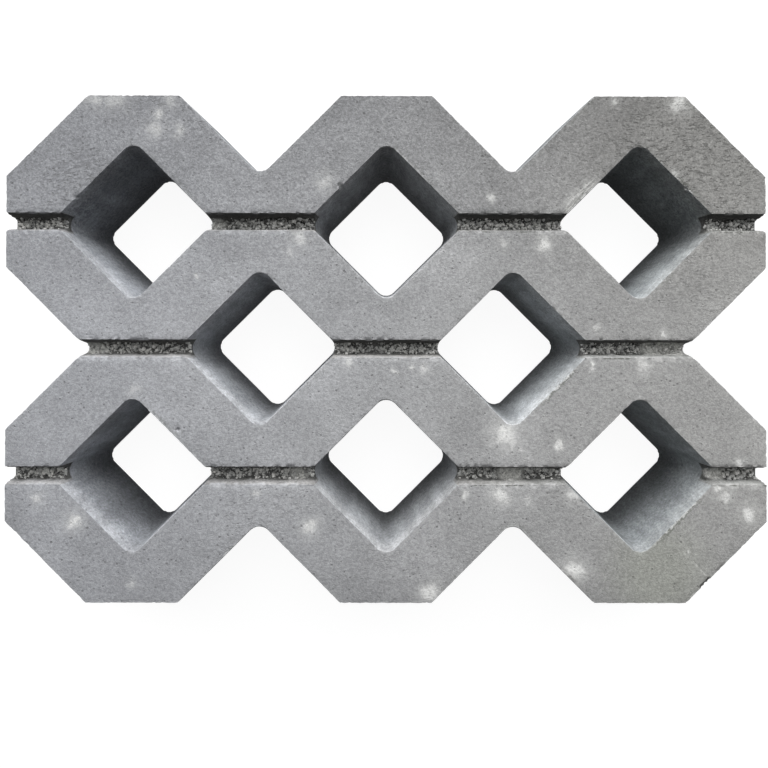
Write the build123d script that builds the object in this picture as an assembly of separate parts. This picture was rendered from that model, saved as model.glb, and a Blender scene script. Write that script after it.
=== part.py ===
from build123d import *
import os

# Laying grid: an opening stands on every second crossing, as on a chessboard
grid = 100.0
steps_along = 6
steps_across = 4

# Block
thickness = 80.0

# Openings for soil and grass, set cornerwise, with walls that lean in towards the bottom
opening_side = 90.0
opening_wall_lean = 5.0
opening_corner_radius = 10.0

# Grooves in the top face, with walls that lean in towards the floor
groove_width = 13.0
groove_wall_lean = 3.0
groove_depth = 14.0

# The cutting shapes run this far past the faces they cut
overrun = 2.0

length = grid * steps_along
width = grid * steps_across


# Blank
block = Box(length, width, thickness, align=(Align.CENTER, Align.CENTER, Align.MIN))

# Shape of one opening
opening_height = thickness + 2 * overrun
opening_slope = opening_wall_lean / thickness
mouth_side = opening_side + 2 * opening_slope * overrun
foot_inset = opening_slope * opening_height
opening = Pos(0, 0, thickness / 2) * Rot(0, 0, 45) * Rot(-90, 0, 0) * Wedge(
    mouth_side,
    opening_height,
    mouth_side,
    foot_inset,
    foot_inset,
    mouth_side - foot_inset,
    mouth_side - foot_inset,
)

# Openings across the grid: those on the border leave notches, and those on the corners cut them off
openings = []
for i in range(steps_along + 1):
    for j in range(steps_across + 1):
        if (i + j) % 2 == 0:
            openings.append(Pos(i * grid - length / 2, j * grid - width / 2, 0) * opening)
paver = block - openings

# Rounded corners of the openings and notches, inside the block's outline
corners = []
for edge in paver.edges():
    middle = edge @ 0.5
    inside = abs(middle.X) < length / 2 - overrun and abs(middle.Y) < width / 2 - overrun
    if inside and overrun < middle.Z < thickness - overrun:
        corners.append(edge)
paver = fillet(corners, opening_corner_radius)

# Grooves along the inner lines of the grid
groove_slope = groove_wall_lean / groove_depth
half_top = groove_width / 2 + groove_slope * overrun
half_floor = groove_width / 2 - groove_wall_lean
floor_height = thickness - groove_depth
grooves = []
for j in range(1, steps_across):
    row = j * grid - width / 2
    outline = Plane.YZ * Polyline(
        (row - half_top, thickness + overrun),
        (row + half_top, thickness + overrun),
        (row + half_floor, floor_height),
        (row - half_floor, floor_height),
        close=True,
    )
    grooves.append(extrude(make_face(outline), amount=length / 2 + overrun, both=True))
paver = paver - grooves

os.makedirs("parts", exist_ok=True)
export_step(paver, "parts/paver.step")
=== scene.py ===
import math
import random

import bmesh
import bpy
import numpy as np
from mathutils import Euler, Matrix, Vector


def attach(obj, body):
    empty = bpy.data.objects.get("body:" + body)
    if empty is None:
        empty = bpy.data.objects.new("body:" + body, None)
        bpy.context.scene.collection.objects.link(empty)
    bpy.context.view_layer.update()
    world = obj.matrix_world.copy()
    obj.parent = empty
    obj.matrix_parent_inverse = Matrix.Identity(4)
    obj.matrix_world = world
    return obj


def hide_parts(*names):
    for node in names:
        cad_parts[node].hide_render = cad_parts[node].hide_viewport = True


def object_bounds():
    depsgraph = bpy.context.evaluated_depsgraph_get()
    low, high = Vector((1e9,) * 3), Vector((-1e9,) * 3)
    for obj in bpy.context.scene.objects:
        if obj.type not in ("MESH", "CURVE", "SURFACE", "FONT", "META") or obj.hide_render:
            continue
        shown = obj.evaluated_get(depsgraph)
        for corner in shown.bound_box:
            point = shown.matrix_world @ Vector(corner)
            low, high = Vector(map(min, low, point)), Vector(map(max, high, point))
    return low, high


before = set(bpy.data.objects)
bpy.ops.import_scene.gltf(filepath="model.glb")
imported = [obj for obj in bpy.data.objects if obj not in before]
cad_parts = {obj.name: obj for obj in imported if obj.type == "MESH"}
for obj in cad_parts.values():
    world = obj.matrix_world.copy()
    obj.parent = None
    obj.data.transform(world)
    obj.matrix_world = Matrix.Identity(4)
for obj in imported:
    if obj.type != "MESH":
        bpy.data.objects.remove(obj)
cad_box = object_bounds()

bpy.context.scene.view_settings.view_transform = "Standard"

# Camera
# It hangs over the block and looks straight down, a little above the middle of the picture.
camera_data = bpy.data.cameras.new("camera")
camera_data.sensor_width = 36.0
camera_data.lens = 26.88
camera_data.shift_x = -0.0012
camera_data.shift_y = -0.0669
camera_data.clip_start = 0.01
camera = bpy.data.objects.new("camera", camera_data)
camera.location = (-0.0019, 0.0096, 0.532)
camera.rotation_euler = (math.radians(0.389), math.radians(-0.101), math.radians(0.087))
bpy.context.scene.collection.objects.link(camera)
bpy.context.scene.camera = camera

# Floor and surroundings
# A plain white studio floor under a plain white sky. The camera sees both as white, and both throw little
# light back on the block.
white = (1.0, 1.0, 1.0, 1.0)
sky_fill_colour = (0.93, 0.96, 1.0, 1.0)
sky_fill_strength = 0.07
floor_reach = 6.0
floor_glow_strength = 0.93
floor_seen_grey = (0.16, 0.16, 0.16, 1.0)
floor_lit_grey = (0.08, 0.08, 0.08, 1.0)


def seen_directly(nodes, links):
    """1 for what the camera sees, straight, mirrored or through glass, and 0 for the light on the block"""
    path = nodes.new("ShaderNodeLightPath")
    seen = path.outputs["Is Camera Ray"]
    for ray in ("Is Glossy Ray", "Is Transmission Ray"):
        either = nodes.new("ShaderNodeMath")
        either.operation = "MAXIMUM"
        links.new(seen, either.inputs[0])
        links.new(path.outputs[ray], either.inputs[1])
        seen = either.outputs[0]
    return seen


world = bpy.data.worlds.new("studio")
bpy.context.scene.world = world
world.use_nodes = True
nodes, links = world.node_tree.nodes, world.node_tree.links
nodes.clear()
sky_fill = nodes.new("ShaderNodeBackground")
sky_fill.inputs["Color"].default_value = sky_fill_colour
sky_fill.inputs["Strength"].default_value = sky_fill_strength
sky_white = nodes.new("ShaderNodeBackground")
sky_white.inputs["Color"].default_value = white
sky_white.inputs["Strength"].default_value = 1.0
sky_mix = nodes.new("ShaderNodeMixShader")
sky_out = nodes.new("ShaderNodeOutputWorld")
links.new(seen_directly(nodes, links), sky_mix.inputs["Fac"])
links.new(sky_fill.outputs[0], sky_mix.inputs[1])
links.new(sky_white.outputs[0], sky_mix.inputs[2])
links.new(sky_mix.outputs[0], sky_out.inputs["Surface"])

floor_shape = bmesh.new()
bmesh.ops.create_grid(floor_shape, x_segments=1, y_segments=1, size=floor_reach)
floor_mesh = bpy.data.meshes.new("floor")
floor_shape.to_mesh(floor_mesh)
floor_shape.free()
floor = bpy.data.objects.new("floor", floor_mesh)
bpy.context.scene.collection.objects.link(floor)
floor_paint = bpy.data.materials.new("white_floor")
floor_paint.use_nodes = True
nodes, links = floor_paint.node_tree.nodes, floor_paint.node_tree.links
nodes.clear()
floor_glow = nodes.new("ShaderNodeEmission")
floor_glow.inputs["Color"].default_value = white
floor_glow.inputs["Strength"].default_value = floor_glow_strength
floor_shade = nodes.new("ShaderNodeBsdfDiffuse")
floor_shade.inputs["Color"].default_value = floor_seen_grey
floor_both = nodes.new("ShaderNodeAddShader")
floor_dull = nodes.new("ShaderNodeBsdfDiffuse")
floor_dull.inputs["Color"].default_value = floor_lit_grey
floor_mix = nodes.new("ShaderNodeMixShader")
floor_out = nodes.new("ShaderNodeOutputMaterial")
links.new(floor_glow.outputs[0], floor_both.inputs[0])
links.new(floor_shade.outputs[0], floor_both.inputs[1])
links.new(seen_directly(nodes, links), floor_mix.inputs["Fac"])
links.new(floor_dull.outputs[0], floor_mix.inputs[1])
links.new(floor_both.outputs[0], floor_mix.inputs[2])
links.new(floor_mix.outputs[0], floor_out.inputs["Surface"])
floor_mesh.materials.append(floor_paint)

# Lamps
# One broad soft lamp stands behind the block and lights it low, and a weaker one hangs over it.
# each lamp: name, place, turn in degrees, length, width, power
lamps = (
    ("back_softbox", (0.0, 5.0, 2.65), (62.0, 0.0, 180.0), 16.0, 3.4, 830.0),
    ("top_softbox", (0.0, 1.9, 4.0), (-25.0, 0.0, 0.0), 4.8, 2.8, 98.0),
)
for name, place, turn, lamp_length, lamp_width, power in lamps:
    lamp_data = bpy.data.lights.new(name, "AREA")
    lamp_data.shape = "RECTANGLE"
    lamp_data.size = lamp_length
    lamp_data.size_y = lamp_width
    lamp_data.energy = power
    lamp = bpy.data.objects.new(name, lamp_data)
    lamp.location = place
    lamp.rotation_euler = [math.radians(angle) for angle in turn]
    bpy.context.scene.collection.objects.link(lamp)

# Cast block
# One slab of vibrated concrete, pressed in a steel mould whose cores leave the openings and whose ribs
# leave the grooves. Its arrises crumble a little as it leaves the mould, and the groove floors stay rough.
half_length, half_width, thickness = (round(reach, 6) for reach in cad_box[1])
grid = half_width / 2.0
opening_half = 0.045
opening_lean = 0.005
corner_radius = 0.010
groove_half = 0.0065
groove_depth = 0.014
groove_floor_height = thickness - groove_depth
# the grain of the mesh, and how many triangles stay of it
mesh_grain = 0.0010
block_triangles = 190000.0
# lumps that the wear comes in
coarse_lump = 0.0070
middle_lump = 0.0032
small_lump = 0.0016
# the arrises: how far in they wear, and how deep they are rubbed, crumbled in places and broken in a few
arris_reach = 0.0015
rubbed_depth = 0.00015
crumbled_depth = 0.0006
broken_depth = 0.0008
crumbled_above = 0.3
broken_above = 0.6
# the groove lips: how far in they wear, and how deep they are rubbed and torn
lip_reach = 0.0020
lip_rubbed_depth = 0.0003
lip_torn_depth = 0.0014
# the groove floors: depth, lump size and seed of each roughness, how far below the top it starts, and how
# far from the openings and the end faces it starts and is full
floor_lumps = ((0.0012, 0.0036, 5), (0.0007, 0.0019, 6), (0.0009, 0.0075, 7))
rough_below = 0.005
rough_ends = (0.001, 0.005)
# slack for the points of the mesh that lie just outside a groove's lip or floor
lip_slack = 0.0005
floor_slack = 0.002
# every face: the depth and length of the waves that the mould left, and the finest roughness
wave_depth = 0.00006
wave_lump = 0.012
fine_depth = 0.00003
sharp_angle = math.radians(32)
# chipped places on the arrises: middle x, y, size
chips = (
    (-0.2445, 0.1200, 0.0026),
    (-0.0364, 0.1284, 0.0024),
    (0.2545, -0.1819, 0.0013),
    (0.2518, -0.1846, 0.0015),
    (0.2492, -0.1872, 0.0012),
    (0.2365, 0.1265, 0.0020),
    (0.1430, -0.0190, 0.0018),
    (0.1350, -0.0275, 0.0016),
    (-0.1640, -0.0640, 0.0016),
    (0.0620, 0.1040, 0.0020),
    (0.0900, 0.1060, 0.0018),
)
# a chip's depth, as a share of its size, and how much the lumps change it
chip_depths = (0.8, 0.4)
# places in the grooves where a smear of cement covers the stones: middle x, y, half length
smears = (
    (0.2240, 0.0, 0.0190),
    (0.1010, -grid, 0.0110),
    (0.2660, -grid, 0.0080),
    (-0.1370, grid, 0.0070),
    (-0.2350, 0.0, 0.0080),
    (-0.0700, -grid, 0.0080),
)


def lumps(points, size, seed):
    """Smooth noise from -1 to 1 at each point, in lumps about as large as size"""
    cell = np.floor(points / size).astype(np.int64)
    part = points / size - cell
    ease = part * part * (3.0 - 2.0 * part)
    total = np.zeros(len(points))
    # large primes stir each corner of a cell into a value that looks random and is always the same
    primes = np.array((73856093, 19349663, 83492791))
    for corner in np.ndindex(2, 2, 2):
        at = (cell + np.array(corner)) * primes
        mixed = at[:, 0] ^ at[:, 1] ^ at[:, 2] ^ (seed * 7919)
        mixed = (mixed & 0xFFFFFF) * 48271 % 0x7FFFFFFF
        mixed = (mixed ^ (mixed >> 13)) * 48271 % 0x7FFFFFFF
        value = (mixed % 65536) / 32767.5 - 1.0
        share = np.prod(np.where(np.array(corner) == 1, ease, 1.0 - ease), axis=1)
        total += share * value
    return total


def opening_distance(x, y, z):
    """Distance in plan from the wall of the nearest opening, positive in the concrete"""
    along = (x + y) / math.sqrt(2.0)
    across = (x - y) / math.sqrt(2.0)
    step = grid * math.sqrt(2.0)
    along = along - (np.floor(along / step) + 0.5) * step
    across = across - (np.floor(across / step) + 0.5) * step
    half = opening_half - opening_lean * (thickness - z) / thickness - corner_radius
    right = np.abs(along) - half
    left = np.abs(across) - half
    outside = np.hypot(np.maximum(right, 0.0), np.maximum(left, 0.0))
    return outside + np.minimum(np.maximum(right, left), 0.0) - corner_radius


def eased(value, low, high):
    """Rises smoothly from 0 at low to 1 at high"""
    part = np.clip((value - low) / (high - low), 0.0, 1.0)
    return part * part * (3.0 - 2.0 * part)


cast = bmesh.new()
cast.from_mesh(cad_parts["paver"].data)
bmesh.ops.remove_doubles(cast, verts=cast.verts, dist=1e-6)
cast_mesh = bpy.data.meshes.new("cast_block")
cast.to_mesh(cast_mesh)
cast.free()
cast_mesh.materials.clear()
block = bpy.data.objects.new("cast_block", cast_mesh)
bpy.context.scene.collection.objects.link(block)
fine = block.modifiers.new("fine", "REMESH")
fine.mode = "VOXEL"
fine.voxel_size = mesh_grain
fine_mesh = bpy.data.meshes.new_from_object(block.evaluated_get(bpy.context.evaluated_depsgraph_get()))
block.modifiers.clear()
block.data = fine_mesh

count = len(fine_mesh.vertices)
places = np.empty(count * 3)
fine_mesh.vertices.foreach_get("co", places)
places = places.reshape(-1, 3)
facing = np.empty(count * 3)
fine_mesh.vertex_normals.foreach_get("vector", facing)
facing = facing.reshape(-1, 3)
x, y, z = places.T

# distances from the rims of the openings, from the outer border and from the groove lips
wall = opening_distance(x, y, z)
below = thickness - z
row = np.clip(np.round(y / grid), -1, 1) * grid
beside = np.abs(y - row)
from_end = half_length - np.abs(x)
rim = np.hypot(wall, below)
border = np.hypot(np.minimum(from_end, half_width - np.abs(y)), below)
lip = np.hypot(beside - groove_half, below)
arris = np.minimum(np.minimum(rim, border), lip)

# worn arrises, ragged lips and chips
coarse = lumps(places, coarse_lump, 1)
middle = lumps(places, middle_lump, 2)
small = lumps(places, small_lump, 3)
wear = rubbed_depth * (1.0 + small)
wear = wear + crumbled_depth * np.maximum(0.0, middle - crumbled_above)
wear = wear + broken_depth * np.maximum(0.0, coarse - broken_above)
cut = wear * np.exp(-((arris / arris_reach) ** 2))
ragged = lip_rubbed_depth * (1.0 + small) + lip_torn_depth * np.maximum(0.0, middle)
cut = np.maximum(cut, ragged * np.exp(-((lip / lip_reach) ** 2)))
for chip_x, chip_y, chip_size in chips:
    apart = np.sqrt((x - chip_x) ** 2 + (y - chip_y) ** 2 + below**2)
    chip_depth = chip_size * (chip_depths[0] + chip_depths[1] * middle)
    cut = np.maximum(cut, chip_depth * np.exp(-((apart / chip_size) ** 4)))

# broken groove floors, smooth towards their ends
in_groove = (beside < groove_half + lip_slack) & (below < groove_depth + floor_slack)
inside_ends = eased(wall, *rough_ends) * eased(from_end, *rough_ends)
floor_share = np.where(in_groove, eased(below, rough_below, groove_depth - floor_slack), 0.0) * inside_ends
cut = cut + floor_share * sum(depth * lumps(places, lump, seed) for depth, lump, seed in floor_lumps)

# waves and the finest roughness of every face
cut = cut + wave_depth * (1.0 + lumps(places, wave_lump, 8)) + fine_depth * (1.0 + small)
places = places - facing * cut[:, None]
places = np.clip(places, (-half_length, -half_width, 0.0), (half_length, half_width, thickness))
fine_mesh.vertices.foreach_set("co", places.ravel())
fine_mesh.update()

thin = block.modifiers.new("thin", "DECIMATE")
thin.ratio = block_triangles / (2.0 * len(fine_mesh.polygons))
thin_mesh = bpy.data.meshes.new_from_object(block.evaluated_get(bpy.context.evaluated_depsgraph_get()))
block.modifiers.clear()
block.data = thin_mesh
thin_mesh.name = "cast_block"
thin_mesh.shade_smooth()
thin_mesh.set_sharp_from_angle(angle=sharp_angle)

# its concrete: grey cement with a sandy skin, fine grain, scattered pores, drag marks, pale lime spots
# where water dried, and a smoother, bluer and paler band on the opening walls where the core let go
concrete = bpy.data.materials.new("cast_concrete")
concrete.use_nodes = True
tree = concrete.node_tree
skin = tree.nodes["Principled BSDF"]


def feed(socket, value):
    """Joins an output to an input, or sets the input to a value"""
    if isinstance(value, bpy.types.NodeSocket):
        tree.links.new(value, socket)
    else:
        socket.default_value = value


def maths(operation, first, second=0.0, third=0.0):
    """One sum on one, two or three numbers"""
    made = tree.nodes.new("ShaderNodeMath")
    made.operation = operation
    for socket, value in zip(made.inputs, (first, second, third)):
        feed(socket, value)
    return made.outputs[0]


def product(first, *others):
    """Several numbers multiplied together"""
    for other in others:
        first = maths("MULTIPLY", first, other)
    return first


def strongest(values):
    """The largest of several numbers"""
    most = values[0]
    for value in values[1:]:
        most = maths("MAXIMUM", most, value)
    return most


def along_vector(operation, first, second, third=None):
    """One sum on vectors"""
    made = tree.nodes.new("ShaderNodeVectorMath")
    made.operation = operation
    for socket, value in zip(made.inputs, (first, second, third)):
        if value is not None:
            feed(socket, value)
    return made.outputs["Value"] if operation == "DISTANCE" else made.outputs[0]


def ramp(value, low, high, low_result=0.0, high_result=1.0):
    """A smooth step between two results"""
    made = tree.nodes.new("ShaderNodeMapRange")
    made.interpolation_type = "SMOOTHSTEP"
    for socket, number in zip(made.inputs, (value, low, high, low_result, high_result)):
        feed(socket, number)
    return made.outputs[0]


def fade(value, low, high, low_result=1.0):
    """A smooth step down to 0"""
    return ramp(value, low, high, low_result, 0.0)


def noise(where, per_metre, detail, roughness=0.5, output=0):
    """Cloudy noise from 0 to 1: its lumps per metre, how many finer ones it has, and how strong they are"""
    made = tree.nodes.new("ShaderNodeTexNoise")
    feed(made.inputs["Vector"], where)
    made.inputs["Scale"].default_value = per_metre
    made.inputs["Detail"].default_value = detail
    made.inputs["Roughness"].default_value = roughness
    return made.outputs[output]


def cells(where, per_metre, output):
    """One tone or distance for each grain"""
    made = tree.nodes.new("ShaderNodeTexVoronoi")
    feed(made.inputs["Vector"], where)
    made.inputs["Scale"].default_value = per_metre
    return made.outputs[output]


def split(vector):
    """The three numbers of a vector"""
    made = tree.nodes.new("ShaderNodeSeparateXYZ")
    feed(made.inputs[0], vector)
    return made.outputs


def layer(colour, share, other, blend="MIX"):
    """Lays a second colour over the first, by sockets 6 and 7, which are the mix's colours"""
    made = tree.nodes.new("ShaderNodeMix")
    made.data_type = "RGBA"
    made.blend_type = blend
    feed(made.inputs[0], share)
    feed(made.inputs[6], colour)
    feed(made.inputs[7], other)
    return made.outputs[2]


def toned(colour, tone, share=1.0):
    """Darkens or brightens a colour"""
    return layer(colour, share, tone, "MULTIPLY")


def tone_at(share, tone):
    """The tone where the share is 1, and 1 where it is 0"""
    return maths("MULTIPLY_ADD", share, tone - 1.0, 1.0)


def patch(where, centre, inner, outer, strength=1.0):
    """Full strength within the inner radius of a place, none beyond the outer"""
    return fade(along_vector("DISTANCE", where, centre), inner, outer, strength)


def top_patch(patch_x, patch_y, inner, outer, strength=1.0):
    """A patch of the top face"""
    return patch(spot, (patch_x, patch_y, thickness), inner, outer, strength)


def pushed(where, kind, reach):
    """Moves the places that a pattern reads about, by a noise for each direction"""
    return along_vector("MULTIPLY_ADD", noise(spot, *kind, output=1), reach, where)


# where a point of the surface lies, and whether it faces up
spot = tree.nodes.new("ShaderNodeTexCoord").outputs["Object"]
lengthways, sideways, height = split(spot)
slope = split(tree.nodes.new("ShaderNodeNewGeometry").outputs["Normal"])
up_limits = (0.35, 0.75)
top_reach = (thickness - 0.006, thickness - 0.003)
facing_up = ramp(slope[2], *up_limits)
steep = maths("SUBTRACT", 1.0, facing_up)
on_top = product(facing_up, ramp(height, *top_reach))

# plan distance from the rim of the nearest opening
rim_rounding = 0.006
half_step = grid * math.sqrt(2.0) / 2.0
along_one = maths("PINGPONG", product(maths("ADD", lengthways, sideways), math.sqrt(0.5)), half_step)
along_two = maths("PINGPONG", product(maths("SUBTRACT", lengthways, sideways), math.sqrt(0.5)), half_step)
past_one = maths("SUBTRACT", half_step - opening_half, along_one)
past_two = maths("SUBTRACT", half_step - opening_half, along_two)
from_rim = maths("SMOOTH_MAX", past_one, past_two, rim_rounding)

# the tone of the whole block: bluer at the left end and warmer at the right, darker at the back and the
# front, and cloudy all over
cool_cement = (0.345, 0.352, 0.372, 1.0)
warm_cement = (0.340, 0.338, 0.331, 1.0)
cool_to_warm = (-half_length, half_length * 1.1)
middle_to_back = (0.0, 0.17)
back_tones = (1.074, 0.816)
front_to_middle = (-0.16, -0.06)
front_tones = (0.892, 1.0)
cloud_noise = (16.0, 4.0, 0.6)
cloud_limits = (0.3, 0.7)
cloud_tones = (0.90, 1.10)
colour = layer(cool_cement, ramp(lengthways, *cool_to_warm), warm_cement)
back_tone = ramp(sideways, *middle_to_back, *back_tones)
front_tone = ramp(sideways, *front_to_middle, *front_tones)
colour = toned(colour, product(back_tone, front_tone))
colour = toned(colour, ramp(noise(spot, *cloud_noise), *cloud_limits, *cloud_tones))

# a duller back right corner, and dirt along the long borders and the left end
dull_tone = (0.865, 0.860, 0.840, 1.0)
dull_place = (0.240, 0.165, 0.020, 0.180, 0.9)
border_reach = (half_width - 0.032, half_width - 0.004)
border_tones = (1.0, 0.88)
end_reach = (0.003 - half_length, 0.030 - half_length)
end_tones = (0.90, 1.0)
colour = toned(colour, dull_tone, top_patch(*dull_place))
border_tone = ramp(maths("ABSOLUTE", sideways), *border_reach, *border_tones)
end_tone = ramp(lengthways, *end_reach, *end_tones)
colour = toned(colour, product(border_tone, end_tone))

# damp and dry patches of the top: x, y, radius, tone
tone_patches = (
    (-0.200, -0.145, 0.070, 0.89),
    (0.213, 0.032, 0.060, 0.86),
    (0.062, -0.070, 0.035, 0.90),
    (0.268, -0.072, 0.045, 0.92),
    (-0.128, -0.085, 0.050, 0.92),
    (0.055, 0.065, 0.065, 1.10),
    (0.265, 0.112, 0.050, 1.15),
    (-0.020, -0.035, 0.070, 1.06),
    (0.050, -0.145, 0.060, 1.06),
    (-0.080, 0.125, 0.045, 1.09),
)
tone_patch_core = 0.2
for patch_x, patch_y, patch_size, patch_tone in tone_patches:
    patch_share = product(top_patch(patch_x, patch_y, patch_size * tone_patch_core, patch_size), on_top)
    colour = toned(colour, tone_at(patch_share, patch_tone))

# a green tinge near the front right corner
green_cement = (0.315, 0.325, 0.285, 1.0)
green_place = (0.215, -0.175, 0.010, 0.060, 0.6)
colour = layer(colour, product(top_patch(*green_place), on_top), green_cement)

# sand grains, coarser to the eye along the back row
grain_noise = (430.0, 4.0, 0.8)
grain_limits = (0.25, 0.75)
grain_tones = (0.75, 1.25)
sand_per_metre = 780.0
sand_tones = (0.86, 1.14)
grain_reach = (0.02, 0.14)
grain_shares = (0.74, 1.0)
grain_tone = ramp(noise(spot, *grain_noise), *grain_limits, *grain_tones)
grain_share = ramp(sideways, *grain_reach, *grain_shares)
colour = toned(colour, grain_tone, grain_share)
sand = split(cells(spot, sand_per_metre, "Color"))[0]
colour = toned(colour, ramp(sand, 0.0, 1.0, *sand_tones), grain_share)

# drag marks, thick in some places and thin in others: x, y, inner radius, outer radius, strength
drag_colour = (0.12, 0.12, 0.113, 1.0)
drag_cover = 0.56
drag_places = (
    (0.235, 0.150, 0.040, 0.085, 1.3),
    (-0.245, 0.125, 0.020, 0.050, 0.85),
    (0.150, 0.150, 0.015, 0.060, 0.6),
)
swirl_noise = (22.0, 1.0, 0.5)
swirl_push = (0.016, 0.022, 0.0)
drag_stretch = (0.38, 1.0, 1.0)
drag_noise = (620.0, 4.0, 0.72)
drag_limits = (0.34, 0.48)
thin_drag_noise = (14.0, 2.0)
thin_drag_limits = (0.50, 0.72)
thin_drag_shares = (0.12, 0.55)
drag_grain = along_vector("MULTIPLY", pushed(spot, swirl_noise, swirl_push), drag_stretch)
drag_lines = fade(noise(drag_grain, *drag_noise), *drag_limits)
thin_drags = ramp(noise(spot, *thin_drag_noise), *thin_drag_limits, *thin_drag_shares)
drags = product(drag_lines, strongest([top_patch(*place) for place in drag_places] + [thin_drags]))
colour = layer(colour, product(drags, on_top, drag_cover), drag_colour)

# pores, painted dark for the shade inside them, larger in some places and missing in others
pore_shade_colour = (0.10, 0.10, 0.10, 1.0)
pore_cover = 0.42
pores_per_metre = 210.0
pore_size_noise = (20.0, 2.0)
pore_size_limits = (0.3, 0.7)
pore_sizes = (0.10, 0.20)
pore_edge = (0.0, 0.07)
pore_here_noise = (240.0, 0.0)
pore_here_limits = (0.40, 0.66)
pore_from = cells(spot, pores_per_metre, "Distance")
pore_size = ramp(noise(spot, *pore_size_noise), *pore_size_limits, *pore_sizes)
pore_here = ramp(noise(spot, *pore_here_noise), *pore_here_limits)
pores = fade(maths("SUBTRACT", pore_from, product(pore_size, pore_here)), *pore_edge)
colour = layer(colour, product(pores, pore_cover), pore_shade_colour)

# pale crumbs along the arrises with painted shade in the gaps behind them: x, y, inner radius, outer radius,
# strength
crumb_colour = (0.62, 0.63, 0.62, 1.0)
crumb_cover = 0.85
crumb_gap_shade_colour = (0.12, 0.13, 0.11, 1.0)
crumb_gap_shade_cover = 0.6
crumb_places = (
    (0.137, -0.030, 0.010, 0.028, 1.0),
    (0.228, -0.132, 0.012, 0.038, 1.0),
    (0.147, 0.122, 0.008, 0.024, 0.9),
    (0.238, 0.130, 0.004, 0.020, 0.8),
    (-0.176, -0.060, 0.006, 0.030, 0.5),
)
stray_crumb_noise = (30.0, 2.0)
stray_crumb_limits = (0.55, 0.75)
stray_crumb_shares = (0.05, 0.55)
crumb_noise = (300.0, 3.0, 0.7)
crumb_push = 0.010
crumb_end = (0.0056, 0.0064)
gap_start = (0.0062, 0.0072)
gap_end = (0.0076, 0.0084)
stray_crumbs = ramp(noise(spot, *stray_crumb_noise), *stray_crumb_limits, *stray_crumb_shares)
crumb_share = product(strongest([top_patch(*place) for place in crumb_places] + [stray_crumbs]), on_top)
crumb_edge = maths("ADD", from_rim, product(noise(spot, *crumb_noise), crumb_push))
# painted shade in the gaps behind the crumbs
crumb_gap_shade = product(ramp(crumb_edge, *gap_start), fade(crumb_edge, *gap_end), crumb_share)
colour = layer(colour, product(crumb_gap_shade, crumb_gap_shade_cover), crumb_gap_shade_colour)
crumbs = product(fade(crumb_edge, *crumb_end), crumb_share)
colour = layer(colour, product(crumbs, crumb_cover), crumb_colour)

# cement paste dragged along the rim of the back right opening
paste_colour = (0.64, 0.64, 0.62, 1.0)
paste_cover = 0.75
paste_place = (0.150, 0.123, 0.008, 0.027)
paste_reach = (0.002, 0.012)
paste_stretch = 0.25
paste_noise = (400.0, 3.0, 0.7)
paste_limits = (0.47, 0.60)
paste_grain = tree.nodes.new("ShaderNodeCombineXYZ")
feed(paste_grain.inputs[0], product(maths("ADD", lengthways, sideways), paste_stretch))
feed(paste_grain.inputs[1], maths("SUBTRACT", lengthways, sideways))
paste_streaks = ramp(noise(paste_grain.outputs[0], *paste_noise), *paste_limits)
paste = product(paste_streaks, top_patch(*paste_place), fade(from_rim, *paste_reach), on_top)
colour = layer(colour, product(paste, paste_cover), paste_colour)

# painted shadow on the broken faces where the outer arris broke off: x, y, inner radius, outer radius,
# strength
chip_shadow_colour = (0.045, 0.045, 0.042, 1.0)
chip_shadow_cover = 0.9
sliver_places = (
    (0.2518, -0.1846, 0.0045, 0.0070, 1.0),
    (0.2640, -0.1725, 0.0020, 0.0080, 0.5),
    (0.1455, -0.1810, 0.0020, 0.0060, 0.6),
)
sliver_noise = (260.0, 3.0, 0.7)
sliver_push = 0.003
sliver_end = (0.0036, 0.0043)
sliver_foot = (thickness - 0.010, thickness - 0.007)
sliver_edge = maths("ADD", from_rim, product(noise(spot, *sliver_noise), sliver_push))
sliver_share = strongest([top_patch(*place) for place in sliver_places])
chip_shadows = product(fade(sliver_edge, *sliver_end), sliver_share, ramp(height, *sliver_foot))
colour = layer(colour, product(chip_shadows, chip_shadow_cover), chip_shadow_colour)

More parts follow.
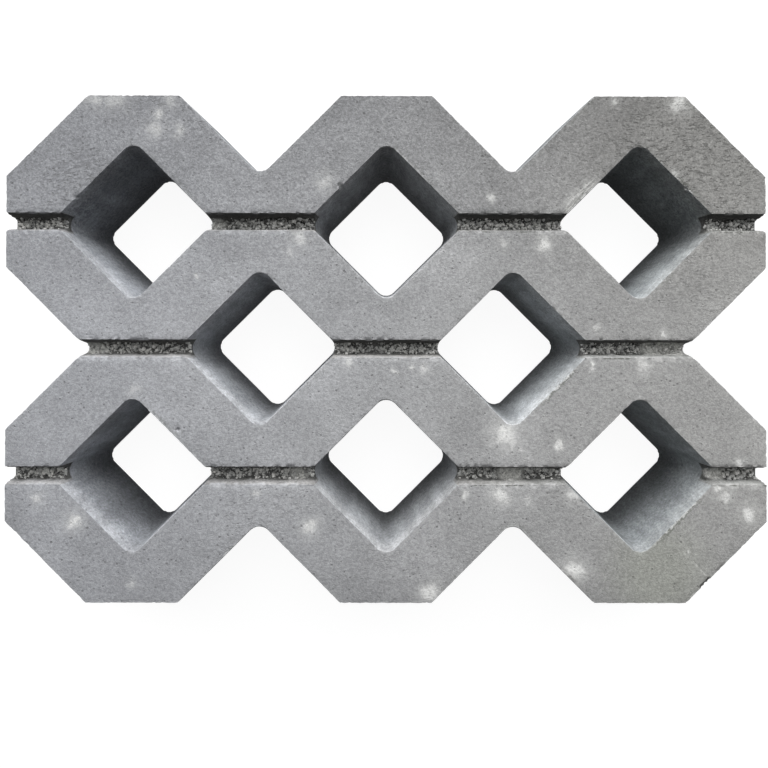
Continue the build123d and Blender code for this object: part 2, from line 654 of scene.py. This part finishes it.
# lime spots on the top: x, y, radius, strength
lime_colour = (0.86, 0.86, 0.84, 1.0)
lime_spots = (
    (-0.180, 0.184, 0.0050, 0.55),
    (-0.184, 0.174, 0.0070, 0.38),
    (-0.164, 0.172, 0.0039, 0.40),
    (-0.214, 0.198, 0.0100, 0.34),
    (-0.230, 0.197, 0.0079, 0.40),
    (-0.172, 0.196, 0.0050, 0.32),
    (-0.068, 0.087, 0.0056, 0.50),
    (-0.077, 0.076, 0.0035, 0.28),
    (-0.150, 0.058, 0.0022, 0.45),
    (0.083, 0.119, 0.0032, 0.60),
    (0.124, 0.083, 0.0063, 0.80),
    (0.091, 0.083, 0.0047, 0.40),
    (0.180, 0.195, 0.0039, 0.50),
    (0.227, 0.139, 0.0032, 0.50),
    (0.232, 0.195, 0.0071, 0.70),
    (0.148, 0.119, 0.0095, 0.22),
    (0.160, 0.129, 0.0080, 0.18),
    (0.168, 0.016, 0.0032, 0.50),
    (0.218, 0.011, 0.0039, 0.70),
    (-0.245, -0.136, 0.0071, 0.80),
    (-0.274, -0.118, 0.0047, 0.50),
    (-0.198, -0.185, 0.0039, 0.40),
    (-0.198, -0.032, 0.0039, 0.30),
    (-0.060, -0.140, 0.0063, 0.70),
    (-0.031, -0.011, 0.0039, 0.50),
    (-0.103, -0.113, 0.0039, 0.50),
    (0.093, -0.067, 0.0092, 0.95),
    (0.099, -0.074, 0.0040, 0.55),
    (0.107, -0.079, 0.0028, 0.40),
    (0.136, -0.075, 0.0039, 0.80),
    (0.162, -0.014, 0.0032, 0.70),
    (0.203, -0.014, 0.0039, 0.60),
    (0.064, -0.115, 0.0039, 0.60),
    (0.089, -0.115, 0.0071, 0.80),
    (0.112, -0.120, 0.0039, 0.40),
    (0.146, -0.116, 0.0047, 0.60),
    (0.149, -0.174, 0.0079, 0.90),
    (0.236, -0.161, 0.0018, 0.55),
    (0.287, -0.130, 0.0071, 0.80),
    (0.262, -0.109, 0.0036, 0.75),
    (0.271, -0.105, 0.0034, 0.75),
    (0.267, -0.116, 0.0046, 0.65),
    (0.279, -0.092, 0.0032, 0.60),
    (0.036, -0.191, 0.0082, 0.72),
    (0.007, -0.017, 0.0024, 0.60),
    (0.020, -0.014, 0.0024, 0.60),
    (0.031, -0.017, 0.0032, 0.50),
    (-0.048, 0.132, 0.0071, 0.40),
)
# each spot is a firm core with a faint halo: inner radius, outer radius and strength, as shares of its own
lime_core = (0.20, 1.35, 0.85)
lime_halo = (0.0, 2.4, 0.30)
# two sizes of noise push the spots out of round, and their centres are moved on by the middle of that push
coarse_lime_noise = (95.0, 1.0, 0.5)
coarse_lime_push = 0.011
fine_lime_noise = (330.0, 3.0, 0.7)
fine_lime_push = 0.007
lime_grain_noise = (480.0, 4.0, 0.8)
lime_grain_limits = (0.32, 0.56)
lime_grain_tones = (0.40, 1.15)
middle_push = (coarse_lime_push + fine_lime_push) / 2.0
lime_spot = pushed(spot, coarse_lime_noise, (coarse_lime_push, coarse_lime_push, 0.0))
lime_spot = pushed(lime_spot, fine_lime_noise, (fine_lime_push, fine_lime_push, 0.0))
lime_layers = []
for lime_x, lime_y, lime_size, lime_strength in lime_spots:
    centre = (lime_x + middle_push, lime_y + middle_push, thickness)
    for inner, outer, strength in (lime_core, lime_halo):
        lime_layer = patch(lime_spot, centre, lime_size * inner, lime_size * outer, lime_strength * strength)
        lime_layers.append(lime_layer)
lime_grain = ramp(noise(spot, *lime_grain_noise), *lime_grain_limits, *lime_grain_tones)
colour = layer(colour, product(strongest(lime_layers), lime_grain, facing_up), lime_colour)

# a dashed pale scratch that points at the front right corner, on a line set by the direction across it and
# by its distance from the middle of the block
scratch_colour = (0.80, 0.80, 0.77, 1.0)
scratch_cover = 0.34
scratch_across_x = 0.724
scratch_across_y = 0.690
scratch_offset = 0.0598
scratch_start = (0.276, 0.279)
scratch_stop = (0.301, 0.304)
scratch_edge = (0.0003, 0.0010)
scratch_waver = 0.001
scratch_waver_noise = (90.0, 2.0)
scratch_dash_noise = (330.0, 2.0)
scratch_dash_limits = (0.42, 0.50)
scratch_dash_shares = (0.05, 1.0)
scratch_ahead = product(lengthways, scratch_across_y)
along_scratch = maths("SUBTRACT", scratch_ahead, product(sideways, scratch_across_x))
across_scratch = maths("ADD", product(lengthways, scratch_across_x), product(sideways, scratch_across_y))
across_scratch = maths("ADD", across_scratch, product(noise(spot, *scratch_waver_noise), scratch_waver))
from_scratch = maths("ABSOLUTE", maths("SUBTRACT", across_scratch, scratch_offset))
scratch_length = product(ramp(along_scratch, *scratch_start), fade(along_scratch, *scratch_stop))
scratch_dashes = ramp(noise(spot, *scratch_dash_noise), *scratch_dash_limits, *scratch_dash_shares)
scratch = product(fade(from_scratch, *scratch_edge), scratch_length, scratch_dashes, on_top)
colour = layer(colour, product(scratch, scratch_cover), scratch_colour)

# opening walls: a pale smooth band at the top, stains that run down, painted shade that darkens their feet,
# painted shade where a wall looks straight to the front or the back and painted light on the slanting faces,
# and a fine grain
band_reach = (thickness - 0.014, thickness - 0.002)
band_tones = (1.02, 1.24)
coarse_band_noise = (55.0, 3.0)
coarse_band_push = 0.012
fine_band_noise = (210.0, 3.0, 0.7)
fine_band_push = 0.010
stain_stretch = (1.0, 1.0, 0.35)
stain_noise = (60.0, 5.0, 0.65)
stain_limits = (0.35, 0.7)
stain_tones = (0.76, 1.16)
foot_shade_reach = (0.003, 0.048)
foot_shade_tones = (0.42, 1.0)
facing_light_limits = (0.74, 0.98)
facing_light_tones = (1.13, 0.87)
wall_grain_noise = (400.0, 3.0, 0.75)
wall_grain_limits = (0.28, 0.72)
wall_grain_tones = (0.82, 1.18)
band_edge = maths("ADD", height, product(noise(spot, *coarse_band_noise), coarse_band_push))
fine_band = maths("SUBTRACT", noise(spot, *fine_band_noise), 0.5)
band_edge = maths("ADD", band_edge, product(fine_band, fine_band_push))
band = ramp(band_edge, *band_reach, *band_tones)
stain_grain = along_vector("MULTIPLY", spot, stain_stretch)
stains = ramp(noise(stain_grain, *stain_noise), *stain_limits, *stain_tones)
# painted shade, darker towards the foot of each wall
foot_shade = ramp(height, *foot_shade_reach, *foot_shade_tones)
# painted light on the slanting faces and painted shade on the faces that look straight to the front or the
# back
facing_light_and_shade = ramp(maths("ABSOLUTE", slope[1]), *facing_light_limits, *facing_light_tones)
wall_grain = ramp(noise(spot, *wall_grain_noise), *wall_grain_limits, *wall_grain_tones)
wall_tone = product(band, stains, foot_shade, facing_light_and_shade, wall_grain)

# dirt on the walls: x, y, height, inner radius, outer radius, strength
dirt_places = (
    (0.188, -0.150, 0.060, 0.004, 0.020, 0.8),
    (0.230, -0.118, 0.060, 0.002, 0.016, 0.6),
    (0.245, 0.120, 0.045, 0.006, 0.030, 0.5),
    (-0.250, 0.110, 0.062, 0.006, 0.024, 0.7),
)
dirt_tone = 0.45
dirt_noise = (190.0, 4.0, 0.7)
dirt_limits = (0.40, 0.55)
dirt_share = strongest([patch(spot, place[:3], *place[3:]) for place in dirt_places])
dirt = product(dirt_share, ramp(noise(spot, *dirt_noise), *dirt_limits))
wall_tone = product(wall_tone, tone_at(dirt, dirt_tone))

# painted shadow on the walls of the openings at the two ends of the front row
front_row_shadow_tone = 0.88
dark_row_front = (-0.185, -0.165)
dark_row_back = (-0.118, -0.104)
dark_row_ends = (0.06, 0.13)
dark_row_end_shares = (0.15, 1.0)
dark_row_top = (thickness - 0.014, thickness - 0.003)
dark_row_top_shares = (1.0, 0.25)
front_row_shadow = product(ramp(sideways, *dark_row_front), fade(sideways, *dark_row_back))
front_row_shadow = product(front_row_shadow, ramp(maths("ABSOLUTE", lengthways), *dark_row_ends, *dark_row_end_shares))
front_row_shadow = product(front_row_shadow, ramp(height, *dark_row_top, *dark_row_top_shares))
wall_tone = product(wall_tone, tone_at(front_row_shadow, front_row_shadow_tone))

# paler and darker places on the opening walls: x, y, height, radius, tone
wall_patches = (
    (0.135, -0.042, 0.072, 0.045, 1.20),
    (0.126, 0.036, 0.060, 0.040, 1.45),
    (-0.218, -0.120, 0.048, 0.034, 0.82),
    (-0.100, 0.040, 0.060, 0.040, 1.20),
    (-0.225, 0.140, 0.060, 0.040, 0.78),
    (0.000, 0.155, 0.060, 0.045, 0.80),
)
wall_patch_core = 0.3
for patch_x, patch_y, patch_height, patch_size, patch_tone in wall_patches:
    centre = (patch_x, patch_y, patch_height)
    patch_share = patch(spot, centre, patch_size * wall_patch_core, patch_size)
    wall_tone = product(wall_tone, tone_at(patch_share, patch_tone))
# the walls' own tones, together with their painted light and shade, go on every steep face
colour = toned(colour, wall_tone, steep)

# all steep faces are a little bluer, most of all below the band and towards the right end
wall_blue = (0.975, 1.0, 1.02, 1.0)
wall_blue_reach = (thickness - 0.020, thickness - 0.004)
wall_blue_shares = (1.0, 0.3)
right_blue = (0.96, 1.0, 1.03, 1.0)
right_blue_reach = (0.0, 0.2)
colour = toned(colour, wall_blue, product(steep, ramp(height, *wall_blue_reach, *wall_blue_shares)))
colour = toned(colour, right_blue, product(steep, ramp(lengthways, *right_blue_reach)))

# the tone of the groove walls, without the pale band
groove_wall_tone = (0.76, 0.735, 0.70, 1.0)
groove_wall_end = (groove_half + 0.0007, groove_half + 0.0013)
inner_reach = (1.4 * grid, 1.6 * grid)
above_floor_reach = (groove_floor_height - 0.004, groove_floor_height - 0.002)
inner_rows = fade(maths("ABSOLUTE", sideways), *inner_reach)
above_floor = ramp(height, *above_floor_reach)
from_row = maths("PINGPONG", sideways, grid / 2.0)
groove_wall = product(fade(from_row, *groove_wall_end), inner_rows, steep, above_floor)
colour = toned(colour, groove_wall_tone, groove_wall)

# painted shadow on the groove walls below the back lips
lip_shadow_colour = (0.030, 0.030, 0.028, 1.0)
lip_shadow_cover = 0.88
lip_shadow_start = (groove_half - 0.0035, groove_half - 0.0029)
lip_shadow_stop = (groove_half + 0.0003, groove_half + 0.0007)
past_row = maths("WRAP", maths("ADD", sideways, grid / 2.0), grid, 0.0)
past_row = maths("SUBTRACT", past_row, grid / 2.0)
lip_shadow = product(ramp(past_row, *lip_shadow_start), fade(past_row, *lip_shadow_stop), inner_rows, steep, above_floor)
colour = layer(colour, product(lip_shadow, lip_shadow_cover), lip_shadow_colour)

# a dark dashed line on the top just in front of the front lips, mostly in the right half
lip_line_colour = (0.08, 0.085, 0.07, 1.0)
lip_line_offset = 0.0011
lip_line_edge = (0.0002, 0.0008)
lip_line_noise = (45.0, 2.0)
lip_line_limits = (0.48, 0.56)
lip_line_reach = (-0.05, 0.12)
lip_line_shares = (0.25, 1.0)
lip_line_dash_noise = (380.0, 2.0)
lip_line_dash_limits = (0.35, 0.55)
lip_line_dash_shares = (0.0, 0.8)
lip_line_here = product(ramp(noise(spot, *lip_line_noise), *lip_line_limits), ramp(lengthways, *lip_line_reach, *lip_line_shares))
lip_line_dashes = ramp(noise(spot, *lip_line_dash_noise), *lip_line_dash_limits, *lip_line_dash_shares)
from_lip_line = maths("ABSOLUTE", maths("ADD", past_row, groove_half + lip_line_offset))
lip_line = product(fade(from_lip_line, *lip_line_edge), lip_line_here, lip_line_dashes, inner_rows, on_top)
colour = layer(colour, lip_line, lip_line_colour)

# groove floors: painted shade in the gaps between the bare stones, and smears of cement
stone_gap_shade_colour = (0.095, 0.095, 0.090, 1.0)
smear_colour = (0.56, 0.56, 0.535, 1.0)
floor_cover = 0.92
floor_side = (groove_half - 0.0013, groove_half + 0.0001)
floor_top = (groove_floor_height, groove_floor_height + 0.005)
floor_top_noise = (160.0, 3.0)
floor_top_push = 0.008
floor_grain_noise = (500.0, 4.0, 0.8)
floor_grain_limits = (0.3, 0.7)
floor_grain_tones = (0.45, 1.55)
rough_top = maths("SUBTRACT", height, product(noise(spot, *floor_top_noise), floor_top_push))
floor_edge = product(fade(from_row, *floor_side), fade(rough_top, *floor_top))
smear_full = 0.7
smear_end = 1.2
smear_layers = []
for smear_x, smear_y, smear_half in smears:
    centre = (smear_x, smear_y, groove_floor_height)
    smear_layers.append(patch(spot, centre, smear_half * smear_full, smear_half * smear_end))
floor_colour = layer(stone_gap_shade_colour, strongest(smear_layers), smear_colour)
floor_grain = ramp(noise(spot, *floor_grain_noise), *floor_grain_limits, *floor_grain_tones)
floor_colour = toned(floor_colour, floor_grain)
colour = layer(colour, product(floor_edge, inner_rows, above_floor, floor_cover), floor_colour)

feed(skin.inputs["Base Color"], colour)
skin.inputs["Roughness"].default_value = 0.92
skin.inputs["Specular IOR Level"].default_value = 0.3

# the grains stand up and the pores and drag marks lie low
grain_rise = 0.9
hollow_depth = 0.7
hollows = product(maths("MAXIMUM", pores, drags), -hollow_depth)
bump = tree.nodes.new("ShaderNodeBump")
bump.inputs["Strength"].default_value = 0.8
bump.inputs["Distance"].default_value = 0.0006
feed(bump.inputs["Height"], maths("MULTIPLY_ADD", grain_tone, grain_rise, hollows))
feed(skin.inputs["Normal"], bump.outputs[0])
thin_mesh.materials.clear()
thin_mesh.materials.append(concrete)

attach(block, "root")
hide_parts("paver")

# Groove stones
# Crushed stone and coarse sand of the mix itself, left bare where the mould rib tore the cement skin off
# the groove floors. They sit half sunk in the floor.
stone_random = random.Random(41)
stones_per_metre = 7000
# radii of the small stones, which are mostly close to the smallest
smallest_stone = 0.00045
stone_spread = 0.0012
stone_stretch = (0.75, 1.35)
stone_jag = 0.28
# how far a stone rises over the floor, in its own radii, and how far it lies from the middle of the groove
stone_rise = (-0.1, 1.0)
stone_aside = (-0.0044, 0.0045)
# the groove walls lean, and the stones that lie on them stay this far below the top and off the end faces
groove_lean = 0.003
groove_floor_half = groove_half - groove_lean
top_clearance = 0.003
end_clearance = 0.0004
# how far a stone's middle stays below the top, off the end faces and inside its run, in its own radii
top_margin = 1.5
end_margin = 1.8
run_margin = 0.6
# share of the stones that a smear of cement covers
smear_cover = 0.7
# a groove runs over the crossings of the grid that have no opening, this far to each side of each
run_half = 0.042
row_crossings = ((-grid, (-3, -1, 1, 3)), (grid, (-3, -1, 1, 3)), (0.0, (-2, 0, 2)))
# the few large pale stones: x, y, radius
large_stones = (
    (-0.0848, 0.1005, 0.0017),
    (-0.0751, 0.1030, 0.0018),
    (-0.0784, 0.0990, 0.0014),
    (-0.0905, 0.1010, 0.0013),
    (0.1100, 0.1000, 0.0016),
    (0.1310, 0.1005, 0.0019),
    (0.2790, 0.1010, 0.0018),
    (0.2900, 0.0990, 0.0014),
    (-0.1960, -0.0010, 0.0017),
    (-0.1880, 0.0010, 0.0015),
    (0.0150, 0.0010, 0.0016),
    (0.1680, -0.0010, 0.0018),
    (-0.2860, -0.1000, 0.0016),
    (-0.2760, -0.1010, 0.0015),
    (0.2830, -0.1000, 0.0020),
    (0.2920, -0.0985, 0.0015),
)
large_stone_jag = 0.16
large_stone_rise = 1.2
large_stone_tone = 0.95


def jagged(made, size, jag, tone_layer, tone):
    """Moves each corner of a stone by up to a share of its size, and gives the whole stone its tone"""
    for vert in made["verts"]:
        vert.co += Vector([stone_random.uniform(-jag, jag) * size for axis in range(3)])
        vert[tone_layer] = tone


def small_stone(shape, tone_layer, size, stone_x, row_y, aside):
    """One crushed stone in a groove, turned and stretched at random, with a tone of its own"""
    wall_rise = max(0.0, abs(aside) - groove_floor_half) * groove_depth / groove_lean
    stone_z = groove_floor_height + wall_rise + stone_random.uniform(*stone_rise) * size
    stone_z = min(stone_z, thickness - top_clearance - size * top_margin)
    place = Matrix.Translation((stone_x, row_y + aside, stone_z))
    turn = Euler([stone_random.uniform(0.0, math.tau) for axis in range(3)]).to_matrix().to_4x4()
    stretch = Matrix.Diagonal([size * stone_random.uniform(*stone_stretch) for axis in range(3)] + [1.0])
    made = bmesh.ops.create_icosphere(shape, subdivisions=1, radius=1.0, matrix=place @ turn @ stretch)
    jagged(made, size, stone_jag, tone_layer, stone_random.random())


def large_stone(shape, tone_layer, size, stone_x, stone_y):
    """One large pale stone that stands on a groove floor"""
    place = Matrix.Translation((stone_x, stone_y, groove_floor_height + size * large_stone_rise))
    made = bmesh.ops.create_icosphere(shape, subdivisions=2, radius=size, matrix=place)
    jagged(made, size, large_stone_jag, tone_layer, large_stone_tone)


groove_runs = []
for row_y, crossings in row_crossings:
    for crossing in crossings:
        run_from = max(end_clearance - half_length, crossing * grid - run_half)
        run_to = min(half_length - end_clearance, crossing * grid + run_half)
        groove_runs.append((row_y, round(run_from, 4), round(run_to, 4)))

stones = bmesh.new()
for row_y, run_from, run_to in groove_runs:
    run_stones = bmesh.new()
    stone_tone = run_stones.verts.layers.float.new("stone_tone")
    run_smears = [(smear_x, smear_half) for smear_x, smear_y, smear_half in smears if smear_y == row_y]
    for number in range(int((run_to - run_from) * stones_per_metre)):
        size = smallest_stone + stone_spread * stone_random.random() ** 3.0
        aside = stone_random.uniform(*stone_aside)
        edge = half_length - end_clearance - size * end_margin
        stone_x = stone_random.uniform(run_from + size * run_margin, run_to - size * run_margin)
        stone_x = min(edge, max(-edge, stone_x))
        covered = stone_random.random() < smear_cover
        if covered and any(abs(stone_x - smear_x) < smear_half for smear_x, smear_half in run_smears):
            continue
        small_stone(run_stones, stone_tone, size, stone_x, row_y, aside)
    for stone_x, stone_y, size in large_stones:
        if run_from < stone_x < run_to and abs(stone_y - row_y) < groove_half:
            large_stone(run_stones, stone_tone, size, stone_x, stone_y)
    run_mesh = bpy.data.meshes.new("one_groove")
    run_stones.to_mesh(run_mesh)
    run_stones.free()
    stones.from_mesh(run_mesh)
    bpy.data.meshes.remove(run_mesh)

stones_mesh = bpy.data.meshes.new("groove_stones")
stones.to_mesh(stones_mesh)
stones.free()
stones_object = bpy.data.objects.new("groove_stones", stones_mesh)
bpy.context.scene.collection.objects.link(stones_object)

# its stone: from dark to pale grey, stone by stone, with a fine grain
darkest_stone = (0.16, 0.16, 0.156, 1.0)
palest_stone = (0.78, 0.77, 0.74, 1.0)
stone_shades = ((0.25, (0.48, 0.483, 0.47, 1.0)), (0.75, (0.70, 0.70, 0.675, 1.0)))
stone_grain_noise = (900.0, 3.0, 0.75)
stone_grain_limits = (0.3, 0.7)
stone_grain_tones = (0.62, 1.3)
stone_paint = bpy.data.materials.new("bare_stone")
stone_paint.use_nodes = True
tree = stone_paint.node_tree
skin = tree.nodes["Principled BSDF"]
spot = tree.nodes.new("ShaderNodeTexCoord").outputs["Object"]
tone_reader = tree.nodes.new("ShaderNodeAttribute")
tone_reader.attribute_name = "stone_tone"
stone_colour = tree.nodes.new("ShaderNodeValToRGB")
feed(stone_colour.inputs[0], tone_reader.outputs["Fac"])
stone_colour.color_ramp.elements[0].color = darkest_stone
stone_colour.color_ramp.elements[1].color = palest_stone
for stop, shade in stone_shades:
    stone_colour.color_ramp.elements.new(stop).color = shade
stone_grain = ramp(noise(spot, *stone_grain_noise), *stone_grain_limits, *stone_grain_tones)
feed(skin.inputs["Base Color"], toned(stone_colour.outputs[0], stone_grain))
skin.inputs["Roughness"].default_value = 0.85
skin.inputs["Specular IOR Level"].default_value = 0.3
stones_mesh.materials.append(stone_paint)

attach(stones_object, "root")
